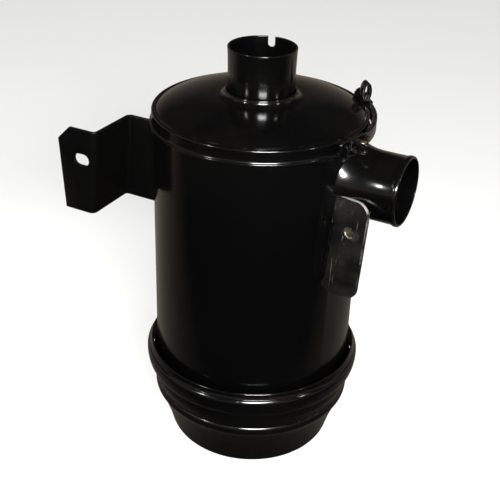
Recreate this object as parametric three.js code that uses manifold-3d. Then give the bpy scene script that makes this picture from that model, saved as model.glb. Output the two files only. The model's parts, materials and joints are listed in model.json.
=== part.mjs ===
// Oil-bath air filter housing, built the way the pressed-steel original comes apart on a bench.
// Millimetres, +Z up. The origin is the middle of the oil bowl's foot, on the canister's axis.
// Azimuths are degrees about +Z, counted from +X towards +Y.

import * as THREE from 'three';
import { mergeVertices } from 'three/addons/utils/BufferGeometryUtils.js';
import Module from 'manifold-3d';

const wasm = await Module();
wasm.setup();

// ---------------------------------------------------------------- driving dimensions
const SHEET = 1.2; // pressed steel sheet
const GAP = 0.3; // clearance left between pieces that touch
const AROUND = 40; // facets round the large turned pieces
const AROUND_SMALL = 24; // facets round tubes and holes

const CAN_RADIUS = 80;
const CAN_BOTTOM = 56;
const CAN_TOP = 281;
const CAN_LIP = 6; // width of the flange turned in at the canister's top

const TUBE_RADIUS = 25.4; // outside of the two inch inlet and outlet stubs
const DOWN_TUBE_BOTTOM = 42;
const DOWN_TUBE_TOP = 284;
const NECK_TOP = 333;
const NECK_FLARE = 0.6;
const NECK_SLOT = { width: 5.4, depth: 8, azimuth: 74.6 };

const COVER_RIM = 79.3;
const COVER_EDGE_Z = 286.6; // top of the cover at its rim
const COVER_CROWN_Z = 296; // top of the cover beside the neck
const SEAL_THICK = 2;

const RING = { topRadius: 80.9, lowRadius: 82.4, low: 275.2, high: COVER_EDGE_Z };

// Lengths along the outlet pipe are measured from the canister's axis.
const OUTLET = {
  azimuth: -26.7, z: 246.5, start: 72, end: 118.8, collar: 34, collarStart: 76, collarEnd: 96,
  bead: 0.8, beadWidth: 3,
};

const BOWL = {
  footRadius: 61.5, footCorner: 7.2, cupRadius: 72.6, beadRadius: 81.8, beadZ: 43.6, beadReach: 3,
  mouthRadius: 83.2, mouthLow: 57, mouthTop: 76, floor: 1.5,
};
const BAND = {
  low: 64, shoulder: 76, high: 84.4, lipRadius: 84.9, lowRadius: 84.8, bulge: 88.4, corner: [3, 3.6],
};
const OIL_CUP = { hole: 34, floorRadius: 55, mouthRadius: 57, low: 1.8, high: 36, thick: 1 };

const LEFT_BRACKET = {
  thick: 2.5, low: 211, high: 277, footAzimuth: 186.6, heading: 27.5,
  arm: 23.5, step: 42.3, flange: 29, foldLean: 0.084, endLean: -0.056,
  cornerAcross: 11, cornerDown: 15, slotZ: 253.5, slotStart: 8, slotEnd: 12, slotRadius: 4.5,
};
const RIGHT_BRACKET = {
  thick: 3, width: 28.4, height: 75.2, z: 207.2, footAzimuth: -47.9, heading: -37.9, twist: 6.9,
  lowCorner: 9, highCorner: 11, root: 6, rootRise: 5, rootRun: 4,
};
const EAR_HOLE = { out: 14, up: 12, radius: 4.6 };
const WELD_NUT = { radius: 7.5, height: 6.5, thread: 4.2 };

// One lever lock closes the cover ring and a second, like it, closes the bowl band.
const COVER_LOCK = { azimuth: -38, z: 281, leverAngle: 68 };
const BOWL_LOCK = { azimuth: 62, z: 77, leverAngle: 60 };
const HOOP_GAP = { width: 8, besideLock: 6.5 };
const LOCK = {
  pinRadius: 1.7, headRadius: 2.6, tailRadius: 2.4, headHeight: 1.1,
  eyeRadius: 3.6, loopEyeRadius: 3, eyeHeight: 4, leverThick: 1.8, leverHeight: 9,
  pivotOut: 8.1, earThick: 1.2, earHalfWidth: 4.5,
  wireRadius: 1.1, loopOut: 4, loopPivotAngle: 5.5, loopEndAngle: -12.5, loopRise: 6.4,
  catchOut: 6.5, catchThick: 1.8, catchHalfHeight: 4.4,
};

// ---------------------------------------------------------------- finishes
function finish(color, roughness, metalness) {
  return new THREE.MeshStandardMaterial({ color, roughness, metalness });
}

const GLOSS_BLACK = finish(0x0a0a0b, 0.18, 0.2);
const WORN_BLACK = finish(0x1c1b1a, 0.55, 0.2);
const ZINC = finish(0xb7aa7c, 0.35, 0.9);
const RUBBER = finish(0x151515, 0.85, 0);
const BARE_STEEL = finish(0x8d8f92, 0.45, 0.9);
const WIRE_MESH = finish(0x6f7174, 0.6, 0.8);

// ---------------------------------------------------------------- making solids
const radians = THREE.MathUtils.degToRad;
const onAxis = (azimuth) => new THREE.Matrix4().makeRotationZ(radians(azimuth));

function solid(geometry, placement = new THREE.Matrix4()) {
  const bare = geometry.clone().applyMatrix4(placement);
  bare.deleteAttribute('normal');
  bare.deleteAttribute('uv');
  const merged = mergeVertices(bare, 1e-4);
  return new wasm.Manifold(new wasm.Mesh({
    numProp: 3,
    vertProperties: new Float32Array(merged.attributes.position.array),
    triVerts: new Uint32Array(merged.index.array),
  }));
}

function geometryOf(body) {
  const mesh = body.getMesh();
  const geometry = new THREE.BufferGeometry();
  geometry.setAttribute('position', new THREE.BufferAttribute(new Float32Array(mesh.vertProperties), 3));
  geometry.setIndex(new THREE.BufferAttribute(new Uint32Array(mesh.triVerts), 1));
  geometry.computeVertexNormals();
  return geometry;
}

// A closed [radius, height] outline turned about +Z.
function turned(outline, facets = AROUND) {
  const points = outline.map(([radius, height]) => new THREE.Vector2(radius, height));
  if (THREE.ShapeUtils.area(points) < 0) points.reverse();
  points.push(points[0].clone());
  return new THREE.LatheGeometry(points, facets).rotateX(Math.PI / 2);
}

const turnedSolid = (outline, facets) => solid(turned(outline, facets));

const sleeve = (inner, outer, low, high, facets) =>
  turnedSolid([[inner, low], [outer, low], [outer, high], [inner, high]], facets);

function rod(radius, low, high, facets = AROUND_SMALL) {
  return new THREE.CylinderGeometry(radius, radius, high - low, facets)
    .rotateX(Math.PI / 2).translate(0, 0, (low + high) / 2);
}

function box(low, high) {
  const size = high.map((value, axis) => value - low[axis]);
  const middle = high.map((value, axis) => (value + low[axis]) / 2);
  return new THREE.BoxGeometry(...size).translate(...middle);
}

// A flat outline in X and Y pushed up from one height to another.
function plate(outline, low, high, curveSegments = 6) {
  const shape = outline instanceof THREE.Shape
    ? outline : new THREE.Shape(outline.map(([x, y]) => new THREE.Vector2(x, y)));
  const settings = { depth: high - low, bevelEnabled: false, curveSegments };
  return new THREE.ExtrudeGeometry(shape, settings).translate(0, 0, low);
}

// Points on an arc of an ellipse in an outline, from one angle to another in degrees.
function arc(centre, reach, from, to, steps) {
  return Array.from({ length: steps + 1 }, (_, step) => {
    const angle = radians(from + (to - from) * step / steps);
    return [centre[0] + reach[0] * Math.cos(angle), centre[1] + reach[1] * Math.sin(angle)];
  });
}

// The room that the canister takes up, with a clearance round it. It is cut from what is welded to it.
const canOutside = (clearance) => solid(rod(CAN_RADIUS + clearance, -50, 400, AROUND));

const group = new THREE.Group();

function add(name, body, material, placement) {
  const geometry = body instanceof THREE.BufferGeometry ? body : geometryOf(body);
  const mesh = new THREE.Mesh(geometry, material);
  mesh.name = name;
  if (placement) mesh.applyMatrix4(placement);
  group.add(mesh);
}

// ---------------------------------------------------------------- canister
// The outlet's own frame: its Z runs out along the pipe, from the canister's axis.
const outletFrame = onAxis(OUTLET.azimuth)
  .multiply(new THREE.Matrix4().makeTranslation(0, 0, OUTLET.z))
  .multiply(new THREE.Matrix4().makeRotationY(Math.PI / 2));

function canister() {
  const inner = CAN_RADIUS - SHEET;
  const wall = turnedSolid([
    [inner, CAN_BOTTOM], [CAN_RADIUS, CAN_BOTTOM], [CAN_RADIUS, CAN_TOP],
    [CAN_RADIUS - CAN_LIP, CAN_TOP], [CAN_RADIUS - CAN_LIP, CAN_TOP - SHEET], [inner, CAN_TOP - SHEET],
  ]);
  return wall.subtract(solid(rod(TUBE_RADIUS + GAP, 40, 100), outletFrame));
}

function outletPipe() {
  const { start, end, collar, collarStart, collarEnd, bead, beadWidth } = OUTLET;
  const bore = TUBE_RADIUS - SHEET;
  const skirt = collarStart - 2;
  const flare = arc([collar, collarEnd], [collar - TUBE_RADIUS, collarEnd - collarStart], 270, 180, 6);
  const outside = [[TUBE_RADIUS, start], [TUBE_RADIUS, skirt], [collar, skirt], ...flare];
  const lip = [
    [TUBE_RADIUS, end - beadWidth - 1], [TUBE_RADIUS + bead, end - beadWidth],
    [TUBE_RADIUS + bead, end - bead], [TUBE_RADIUS, end],
  ];
  const full = solid(turned([[bore, start], ...outside, ...lip, [bore, end]], 40), outletFrame);
  const wallSleeve = turned([[bore, start], [TUBE_RADIUS, start], [TUBE_RADIUS, 90], [bore, 90]], 40);
  const sleeveInWall = solid(wallSleeve, outletFrame);
  const underRing = solid(box([0, -90, RING.low - 0.8], [140, 60, 320]));
  return full.subtract(canOutside(GAP)).add(sleeveInWall).subtract(underRing).subtract(earRoom());
}

add('canister_shell', canister(), GLOSS_BLACK);
add('outlet_pipe', outletPipe(), GLOSS_BLACK);

// ---------------------------------------------------------------- brackets
// Left: a Z folded from strip. Its folds lean in the strip, and its free end is cut on the slant.
function leftBracket() {
  const b = LEFT_BRACKET;
  const half = b.thick / 2;
  const along = b.arm + b.flange;
  const outline = [
    [-4, -half], [b.arm + half, -half], [b.arm + half, b.step - half], [along, b.step - half],
    [along, b.step + half], [b.arm - half, b.step + half], [b.arm - half, half], [-4, half],
  ];
  const blank = solid(plate(outline, b.low, b.high));
  const corner = [[along - b.cornerAcross, b.high], [along + 1, b.high], [along + 1, b.high - b.cornerDown]];
  const cornerCut = plate(corner, -5, 5).rotateX(Math.PI / 2).translate(0, b.step, 0);
  const slot = new THREE.Shape();
  slot.absarc(b.arm + b.slotStart, b.slotZ, b.slotRadius, Math.PI / 2, Math.PI * 1.5);
  slot.absarc(b.arm + b.slotEnd, b.slotZ, b.slotRadius, -Math.PI / 2, Math.PI / 2);
  const slotCut = plate(slot, -5, 5, 8).rotateX(Math.PI / 2).translate(0, b.step, 0);
  const flat = geometryOf(blank.subtract(solid(cornerCut)).subtract(solid(slotCut)));
  const middle = (b.low + b.high) / 2;
  const place = flat.attributes.position;
  for (let i = 0; i < place.count; i += 1) {
    const run = place.getX(i);
    const lean = run < b.arm
      ? b.foldLean * Math.max(run, 0) / b.arm
      : THREE.MathUtils.lerp(b.foldLean, b.endLean, (run - b.arm) / b.flange);
    place.setX(i, run - lean * (place.getZ(i) - middle));
  }
  const foot = new THREE.Vector3(CAN_RADIUS, 0, 0).applyMatrix4(onAxis(b.footAzimuth));
  const frame = new THREE.Matrix4().makeTranslation(foot).multiply(onAxis(180 - b.heading));
  const ringRoom = solid(rod(RING.lowRadius + 1, RING.low - 1, RING.high + 2, AROUND));
  return solid(flat, frame).subtract(canOutside(GAP)).subtract(ringRoom);
}

// Right: a flat ear welded on edge, a little skewed, with a nut welded behind its hole.
function earFrame() {
  const b = RIGHT_BRACKET;
  const foot = new THREE.Vector3(CAN_RADIUS, 0, b.z).applyMatrix4(onAxis(b.footAzimuth));
  return new THREE.Matrix4().makeTranslation(foot)
    .multiply(onAxis(b.heading))
    .multiply(new THREE.Matrix4().makeRotationX(radians(90 - b.twist)));
}

// The slot in the outlet's collar that the ear's root passes through.
function earRoom() {
  const { width, height, thick, root } = RIGHT_BRACKET;
  const low = [-root, -height / 2, -thick / 2 - GAP];
  const high = [width + GAP, height / 2 + GAP, thick / 2 + GAP];
  return solid(box(low, high), earFrame());
}

function rightBracket() {
  const b = RIGHT_BRACKET;
  const top = b.height / 2;
  const shape = new THREE.Shape();
  shape.moveTo(-b.root, -top + b.rootRise);
  shape.lineTo(b.rootRun, -top);
  shape.lineTo(b.width - b.lowCorner, -top);
  shape.absarc(b.width - b.lowCorner, -top + b.lowCorner, b.lowCorner, -Math.PI / 2, 0);
  shape.lineTo(b.width, top - b.highCorner);
  shape.absarc(b.width - b.highCorner, top - b.highCorner, b.highCorner, 0, Math.PI / 2);
  shape.lineTo(-b.root, top);
  shape.closePath();
  const hole = rod(EAR_HOLE.radius, -5, 5, 20).translate(EAR_HOLE.out, EAR_HOLE.up, 0);
  const ear = solid(plate(shape, -b.thick / 2, b.thick / 2), earFrame());
  return ear.subtract(solid(hole, earFrame())).subtract(canOutside(GAP));
}

function weldNut() {
  const back = -RIGHT_BRACKET.thick / 2 - GAP;
  const nut = solid(rod(WELD_NUT.radius, back - WELD_NUT.height, back, 6));
  const thread = solid(rod(WELD_NUT.thread, back - 10, back + 3, 20));
  return geometryOf(nut.subtract(thread)).translate(EAR_HOLE.out, EAR_HOLE.up, 0);
}

add('left_bracket', leftBracket(), GLOSS_BLACK);
add('right_bracket', rightBracket(), WORN_BLACK);
add('right_weld_nut', weldNut(), ZINC, earFrame());

// ---------------------------------------------------------------- inside the canister
// Air comes down the middle tube, turns over the oil and rises through two packs of crimped wire.
const PACKS = { inner: TUBE_RADIUS + GAP, outer: CAN_RADIUS - SHEET - GAP };
const MESH = { thick: 1, folds: 5 };
const GRID_LEVELS = { lower_grid: 90, middle_grid: 148, upper_grid: 212 };

function grid(level) {
  const disc = sleeve(PACKS.inner, PACKS.outer, level, level + SHEET);
  const holes = [[40, 8, 7], [62, 12, 8]];
  const cuts = holes.flatMap(([radius, count, size]) => Array.from({ length: count }, (_, index) => {
    const turn = onAxis(360 * index / count);
    return solid(rod(size, level - 1, level + 3, 6).translate(radius, 0, 0), turn);
  }));
  return cuts.reduce((body, cut) => body.subtract(cut), disc);
}

// Wire mesh folded to and fro in rings: a closed outline follows the folds at the mesh's thickness.
function foldedPack(gridBelow, gridAbove) {
  const low = gridBelow + SHEET + GAP + MESH.thick / 2;
  const high = gridAbove - GAP - MESH.thick / 2;
  const start = PACKS.inner + MESH.thick / 2;
  const pitch = (PACKS.outer - MESH.thick / 2 - start) / MESH.folds;
  const path = Array.from({ length: MESH.folds + 1 }, (_, fold) => {
    const radius = start + pitch * fold;
    return fold % 2 ? [[radius, high], [radius, low]] : [[radius, low], [radius, high]];
  }).flat();
  const side = (sign) => path.map(([radius, height], index) => {
    const before = path[index - 1];
    const after = path[index + 1];
    const across = sign * MESH.thick / 2;
    const upright = Math.sign((index % 2 ? height - before[1] : after[1] - height));
    const level = (index % 2 ? after : before) ? 1 : 0;
    return [radius - across * upright, height + across * level];
  });
  return turnedSolid([...side(1), ...side(-1).reverse()], AROUND_SMALL);
}

const downTube = sleeve(TUBE_RADIUS - SHEET, TUBE_RADIUS, DOWN_TUBE_BOTTOM, DOWN_TUBE_TOP, AROUND_SMALL);
add('down_tube', downTube, GLOSS_BLACK);
for (const [name, level] of Object.entries(GRID_LEVELS)) add(name, grid(level), BARE_STEEL);
add('lower_mesh_pack', foldedPack(GRID_LEVELS.lower_grid, GRID_LEVELS.middle_grid), WIRE_MESH);
add('upper_mesh_pack', foldedPack(GRID_LEVELS.middle_grid, GRID_LEVELS.upper_grid), WIRE_MESH);

// ---------------------------------------------------------------- cover, neck and seals
function cover() {
  const collar = TUBE_RADIUS + GAP;
  const dome = (rise) => arc([collar + 6, COVER_EDGE_Z - SHEET + rise], [
    77 - collar - 6, COVER_CROWN_Z - COVER_EDGE_Z], 0, 90, 5);
  const top = dome(SHEET);
  const under = dome(0).map(([radius, height]) => [radius - SHEET * 0.6, height]).reverse();
  const fillet = arc([collar + 6, COVER_CROWN_Z + 5], [4.8, 5], 270, 180, 3);
  return turnedSolid([
    [COVER_RIM, COVER_EDGE_Z - 3], [COVER_RIM, COVER_EDGE_Z - 3 + SHEET], [77, COVER_EDGE_Z - 3 + SHEET],
    ...top, ...fillet, [collar, COVER_CROWN_Z + 5], [collar, COVER_CROWN_Z - SHEET],
    ...under, [76, COVER_EDGE_Z - 3],
  ]);
}

function neck() {
  const bore = TUBE_RADIUS - SHEET;
  const tube = turnedSolid([
    [bore, DOWN_TUBE_TOP + 3], [TUBE_RADIUS - NECK_FLARE, DOWN_TUBE_TOP + 3],
    [TUBE_RADIUS - NECK_FLARE, NECK_TOP - 12], [TUBE_RADIUS + NECK_FLARE * 0.3, NECK_TOP],
    [bore + NECK_FLARE * 1.3, NECK_TOP], [bore, NECK_TOP - 12],
  ], 40);
  const slotBottom = NECK_TOP - NECK_SLOT.depth + NECK_SLOT.width / 2;
  const slotCut = box([15, -NECK_SLOT.width / 2, slotBottom], [35, NECK_SLOT.width / 2, NECK_TOP + 5]);
  const slotEnd = rod(NECK_SLOT.width / 2, 15, 35, 16).rotateY(Math.PI / 2).translate(0, 0, slotBottom);
  const turn = onAxis(NECK_SLOT.azimuth);
  return tube.subtract(solid(slotCut, turn)).subtract(solid(slotEnd, turn));
}

// A band with its top edge turned in over the cover's rim and its low edge flared.
function coverRing() {
  const r = RING;
  const hoop = turnedSolid([
    [r.lowRadius - SHEET, r.low], [r.lowRadius, r.low], [r.lowRadius - 0.4, r.low + 2],
    [r.topRadius, r.high - 1.2], [r.topRadius - 1.2, r.high], [77.6, r.high], [77.6, r.high - SHEET],
    [r.topRadius - SHEET, r.high - SHEET], [r.lowRadius - 0.4 - SHEET, r.low + 2],
  ]);
  return hoop.subtract(hoopGap(COVER_LOCK));
}

// What is cut from a hoop beside its lock, where its two ends face each other.
function hoopGap(lock) {
  const half = HOOP_GAP.width / 2;
  const gap = box([60, -half, lock.z - 20], [110, half, lock.z + 20]);
  return solid(gap, onAxis(lock.azimuth - HOOP_GAP.besideLock));
}

add('cover', cover(), GLOSS_BLACK);
add('inlet_neck', neck(), GLOSS_BLACK);
add('cover_seal', sleeve(75, COVER_RIM, CAN_TOP + GAP, CAN_TOP + GAP + SEAL_THICK), RUBBER);
const tubeSeal = [TUBE_RADIUS - 2.6, TUBE_RADIUS + 2.4, DOWN_TUBE_TOP + GAP, DOWN_TUBE_TOP + 2.6];
add('tube_seal', sleeve(...tubeSeal, AROUND_SMALL), RUBBER);
add('cover_ring', coverRing(), GLOSS_BLACK);

// ---------------------------------------------------------------- oil bowl
function bowl() {
  const b = BOWL;
  const wall = SHEET + GAP;
  const cup = [b.cupRadius, 21];
  const taper = [[75.6, 29], [78.9, 37]];
  const ledge = [81, 48.6];
  const mouth = [b.mouthRadius, b.mouthLow];
  const top = [b.mouthRadius - 0.4, b.mouthTop];
  const outside = [
    [b.footRadius, 0], ...arc([b.footRadius, 7.5], [b.footCorner, 7.5], 300, 350, 2),
    [b.cupRadius - 1.2, 17], cup, ...taper,
    ...arc([b.beadRadius - b.beadReach, b.beadZ], [b.beadReach, b.beadReach], -15, 60, 3),
    ledge, mouth, [b.mouthRadius, b.mouthLow + 6], top,
  ];
  const inside = [top, mouth, ledge, ...taper.toReversed(), cup, [b.footRadius + 6, 6]]
    .map(([radius, height]) => [radius - wall, height]);
  const outline = [[0, 0], ...outside, ...inside, [b.footRadius - 1, b.floor], [0, b.floor]];
  const points = outline.map(([radius, height]) => new THREE.Vector2(radius, height));
  return solid(new THREE.LatheGeometry(points, AROUND).rotateX(Math.PI / 2));
}

// A band pressed over the bowl's mouth. It is widest at its shoulder, and its lip stands clear of the can.
function bowlBand() {
  const r = BAND;
  const side = (inset) => [
    ...arc([r.lowRadius - inset, r.shoulder], [r.bulge - r.lowRadius, r.shoulder - r.low], 270, 360, 4),
    ...arc([r.bulge - inset - r.corner[0], r.shoulder], r.corner, 0, 60, 3).slice(1),
    [r.lipRadius - inset, r.high - inset * 0.5],
  ];
  const hoop = turnedSolid([...side(0), ...side(SHEET).reverse()]);
  return hoop.subtract(hoopGap(BOWL_LOCK));
}

function oilCup() {
  const { hole, floorRadius, mouthRadius, low, high, thick } = OIL_CUP;
  return turnedSolid([
    [hole, low], [floorRadius, low], [mouthRadius, high], [mouthRadius - thick, high],
    [floorRadius - thick, low + thick], [hole, low + thick],
  ]);
}

add('oil_bowl', bowl(), GLOSS_BLACK);
add('oil_cup', oilCup(), BARE_STEEL);
add('bowl_gasket', sleeve(76.6, 80.3, CAN_BOTTOM - 3.4, CAN_BOTTOM - GAP), RUBBER);
add('bowl_band', bowlBand(), GLOSS_BLACK);

// ---------------------------------------------------------------- lever locks
// In a lock's own frame X points out through the lever's pivot, Y runs round the hoop, Z is up.
function turnedPoint(radius, angle) {
  return [radius * Math.cos(radians(angle)), radius * Math.sin(radians(angle))];
}

function hoopStrip(inner, outer, from, to, low, high) {
  const outside = arc([0, 0], [outer, outer], from, to, 14);
  const inside = arc([0, 0], [inner, inner], to, from, 14);
  return solid(plate([...outside, ...inside], low, high));
}

function lockBracket(hoopRadius, hoopBody, z) {
  const pivot = hoopRadius + LOCK.pivotOut;
  const reach = pivot + LOCK.eyeRadius;
  const half = LOCK.earHalfWidth;
  const ear = [
    [hoopRadius - 6, -half], [pivot, -LOCK.eyeRadius], [reach, -1.5], [reach, 1.5], [pivot, LOCK.eyeRadius],
    [hoopRadius - 6, half],
  ];
  const inner = LOCK.eyeHeight / 2 + GAP;
  const ears = [[z - inner - LOCK.earThick, z - inner], [z + inner, z + inner + LOCK.earThick]];
  const web = solid(box([hoopRadius - 4, -half, z - inner - 1], [hoopRadius + 1.6, half, z + inner + 1]));
  const clevis = ears.reduce((body, [low, high]) => body.add(solid(plate(ear, low, high))), web);
  const bore = solid(rod(LOCK.pinRadius + 0.15, z - 20, z + 20, 16).translate(pivot, 0, 0));
  return clevis.subtract(hoopBody).subtract(bore);
}

function lockPin(hoopRadius, z) {
  const reach = LOCK.eyeHeight / 2 + GAP + LOCK.earThick + 0.2;
  const shank = solid(rod(LOCK.pinRadius, z - reach - 0.2, z + reach + 0.2, 16));
  const head = solid(rod(LOCK.headRadius, z + reach, z + reach + LOCK.headHeight, 16));
  const tail = solid(rod(LOCK.tailRadius, z - reach - LOCK.headHeight, z - reach, 16));
  return geometryOf(shank.add(head).add(tail)).translate(hoopRadius + LOCK.pivotOut, 0, 0);
}

function lockCatch(hoopRadius, hoopBody, z) {
  const [, loopEnd] = turnedPoint(hoopRadius + LOCK.loopOut, LOCK.loopEndAngle);
  const near = loopEnd + LOCK.wireRadius + 1.4;
  const low = [hoopRadius - 6, near, z - LOCK.catchHalfHeight];
  const high = [hoopRadius + LOCK.catchOut, near + LOCK.catchThick, z + LOCK.catchHalfHeight];
  return solid(box(low, high)).subtract(hoopBody);
}

function lockLever(hoopRadius, z, reachAngle) {
  const pivot = hoopRadius + LOCK.pivotOut;
  const [loopX, loopY] = turnedPoint(hoopRadius + LOCK.loopOut, LOCK.loopPivotAngle);
  const low = z - LOCK.eyeHeight / 2;
  const high = z + LOCK.eyeHeight / 2;
  const inner = hoopRadius + 2;
  const eye = solid(rod(LOCK.eyeRadius - 0.3, low, high, 20).translate(pivot, 0, 0));
  const loopEye = solid(rod(LOCK.loopEyeRadius, low, high, 20).translate(loopX, loopY, 0));
  const sides = [[pivot + 2.6, 1], [loopX + 2.6, loopY + 1.5], [loopX - 2.4, loopY], [pivot - 2.4, -1.5]];
  const link = solid(plate(sides, low, high));
  const neckStrip = hoopStrip(inner, inner + LOCK.leverThick + 1.2, 6, 11, low, high);
  const half = LOCK.leverHeight / 2;
  const strip = hoopStrip(inner, inner + LOCK.leverThick, 9.5, reachAngle, z - half, z + half);
  const bores = [[pivot, 0, LOCK.pinRadius + 0.25], [loopX, loopY, LOCK.wireRadius + 0.35]]
    .map(([x, y, radius]) => solid(rod(radius, z - 20, z + 20, 16).translate(x, y, 0)));
  const body = eye.add(loopEye).add(link).add(neckStrip).add(strip);
  return bores.reduce((rest, bore) => rest.subtract(bore), body);
}

// The cover lever ends in a raised ear that leans in over the ring. It has a sloping edge, a seal hole
// and a rolled finger loop.
const EAR = {
  from: 48.5, bend: 6.6, inward: 4, rise: 12, holeAngle: 55.5, loopAngle: 51.5,
  loopReach: [3.6, 7.4], loopWire: 1.7, loopHeight: 14, loopWidth: 7,
};

function leverEar(hoopRadius, z, leverAngle) {
  const inner = hoopRadius + 2;
  const outer = inner + LOCK.leverThick;
  const crossCut = [[inner, z], [outer, z], [outer, z + EAR.bend], [outer - EAR.inward, z + EAR.bend + 2.4],
    [outer - EAR.inward, z + EAR.rise], [inner - EAR.inward, z + EAR.rise],
    [inner - EAR.inward, z + EAR.bend + 2], [inner, z + EAR.bend - 0.4]];
  const wall = turnedSolid(crossCut, 80);
  const sector = (from, to) => plate([[0, 0], turnedPoint(150, from), turnedPoint(150, (from + to) / 2),
    turnedPoint(150, to)], z - 5, z + 30);
  const fin = wall.intersect(solid(sector(EAR.from, leverAngle)));
  const above = [[-2, 5], [EAR.from - leverAngle + 8, EAR.rise + 0.5], [-40, EAR.rise + 0.5], [-40, 30],
    [30, 30], [30, 5]];
  const slope = plate(above, -15, 15).rotateX(Math.PI / 2);
  const ramp = solid(slope, new THREE.Matrix4().makeTranslation(0, 0, z).premultiply(onAxis(leverAngle))
    .multiply(new THREE.Matrix4().makeTranslation(outer - 3, 0, 0)).multiply(onAxis(90)));
  const sealHole = solid(box([inner - 8, -1.8, z + EAR.bend + 0.6], [outer + 5, 1.8, z + EAR.rise - 1.2]),
    onAxis(EAR.holeAngle));
  const middle = [inner - EAR.inward + LOCK.leverThick / 2, z + EAR.loopHeight];
  const oval = ([across, up], steps) => arc(middle, [across, up], 0, 360, steps).slice(1)
    .map(([x, y]) => new THREE.Vector2(x, y));
  const rim = new THREE.Shape(oval(EAR.loopReach, 20));
  rim.holes.push(new THREE.Path(oval(EAR.loopReach.map((reach) => reach - EAR.loopWire), 16)));
  const half = EAR.loopWidth / 2;
  const finger = solid(plate(rim, -half, half).rotateX(Math.PI / 2), onAxis(EAR.loopAngle));
  return fin.subtract(ramp).subtract(sealHole).add(finger);
}

function lockLoop(hoopRadius, z) {
  const radius = hoopRadius + LOCK.loopOut;
  const near = turnedPoint(radius, LOCK.loopPivotAngle);
  const far = turnedPoint(radius, LOCK.loopEndAngle);
  const [low, high] = [z - LOCK.loopRise, z + LOCK.loopRise];
  const corners = [[...near, low], [...near, high], [...far, high], [...far, low]]
    .map((point) => new THREE.Vector3(...point));
  const runs = corners.map((start, index) => {
    const end = corners[(index + 1) % 4];
    const line = end.clone().sub(start);
    const upright = new THREE.Vector3(0, 0, 1);
    const turn = new THREE.Quaternion().setFromUnitVectors(upright, line.clone().normalize());
    const frame = new THREE.Matrix4().compose(start, turn, new THREE.Vector3(1, 1, 1));
    const knuckle = new THREE.SphereGeometry(LOCK.wireRadius, 8, 6).translate(start.x, start.y, start.z);
    return solid(rod(LOCK.wireRadius, 0, line.length(), 8), frame).add(solid(knuckle));
  });
  return runs.reduce((loop, run) => loop.add(run));
}

function addLock(prefix, hoopRadius, { azimuth, z, leverAngle }, withEar) {
  const turn = onAxis(azimuth);
  const hoopBody = solid(rod(hoopRadius + GAP, z - 60, z + 60, AROUND));
  const strip = lockLever(hoopRadius, z, leverAngle);
  const lever = withEar ? strip.add(leverEar(hoopRadius, z, leverAngle)) : strip;
  add(`${prefix}_lever_bracket`, lockBracket(hoopRadius, hoopBody, z), GLOSS_BLACK, turn);
  add(`${prefix}_lever_pin`, lockPin(hoopRadius, z), ZINC, turn);
  add(`${prefix}_lock_catch`, lockCatch(hoopRadius, hoopBody, z), GLOSS_BLACK, turn);
  add(`${prefix}_lock_lever`, lever, GLOSS_BLACK, turn);
  add(`${prefix}_lock_loop`, lockLoop(hoopRadius, z), GLOSS_BLACK, turn);
}

addLock('cover', RING.lowRadius, COVER_LOCK, true);
addLock('bowl', BAND.bulge, BOWL_LOCK, false);

export default group;
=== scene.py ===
import json
from math import atan2, cos, degrees, hypot, pi, radians, sin, sqrt

import bpy
from mathutils import Matrix, Vector


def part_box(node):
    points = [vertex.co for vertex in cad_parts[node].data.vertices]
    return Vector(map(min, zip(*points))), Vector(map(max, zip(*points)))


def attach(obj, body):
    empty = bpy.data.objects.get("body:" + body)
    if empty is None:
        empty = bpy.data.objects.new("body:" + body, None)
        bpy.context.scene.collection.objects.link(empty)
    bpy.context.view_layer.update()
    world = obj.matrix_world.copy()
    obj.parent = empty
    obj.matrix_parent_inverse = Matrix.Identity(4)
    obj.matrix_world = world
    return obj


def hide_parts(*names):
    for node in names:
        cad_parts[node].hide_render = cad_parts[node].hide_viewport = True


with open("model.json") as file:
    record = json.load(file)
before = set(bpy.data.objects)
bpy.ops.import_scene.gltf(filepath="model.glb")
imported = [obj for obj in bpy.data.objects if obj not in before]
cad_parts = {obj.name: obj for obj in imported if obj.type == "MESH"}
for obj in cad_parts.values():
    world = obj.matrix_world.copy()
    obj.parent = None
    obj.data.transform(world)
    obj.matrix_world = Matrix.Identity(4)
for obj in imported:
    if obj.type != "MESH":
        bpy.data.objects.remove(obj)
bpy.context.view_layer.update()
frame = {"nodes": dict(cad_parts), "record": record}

mm = 0.001
bpy.ops.object.select_all(action="DESELECT")

# ---- Camera ----
# It stands in front of the housing, a little above it, and looks down at the cover and the outlet.
# It is tipped a little about its own line of sight, as a camera held in the hand is.
bpy.ops.object.camera_add(location=(-0.0043, -0.658, 0.541))
camera = bpy.context.object
camera.matrix_world = (Matrix.Translation(camera.location)
                       @ Matrix.Rotation(radians(60.2), 4, "X")
                       @ Matrix.Rotation(radians(1.91), 4, "Z"))
camera.data.lens = 67.8
camera.data.sensor_width = 36
bpy.context.scene.camera = camera

# ---- Lights and surroundings ----
# One soft box stands in front of the housing, above it, with a small window light to its left and to
# its right and a weak fill at each side. The room is pale to the eye, but what the gloss paint mirrors
# is the dim warm room of a workshop.
LIT_POINT = Vector((0, 0, 0.19))
WARM_LIGHT = (1, 0.95, 0.88)


def add_light(name, azimuth, elevation, distance, width, height, power, colour=(1, 1, 1)):
    """A rectangular lamp that looks at the housing's middle. Azimuths run from the front to the right."""
    a, e = radians(azimuth), radians(elevation)
    away = Vector((sin(a) * cos(e), -cos(a) * cos(e), sin(e)))
    bpy.ops.object.light_add(type="AREA", location=LIT_POINT + away * distance)
    light = bpy.context.object
    light.name = name
    light.rotation_euler = away.to_track_quat("Z", "Y").to_euler()
    light.data.shape = "RECTANGLE"
    light.data.size = width
    light.data.size_y = height
    light.data.energy = power
    light.data.color = colour


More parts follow.
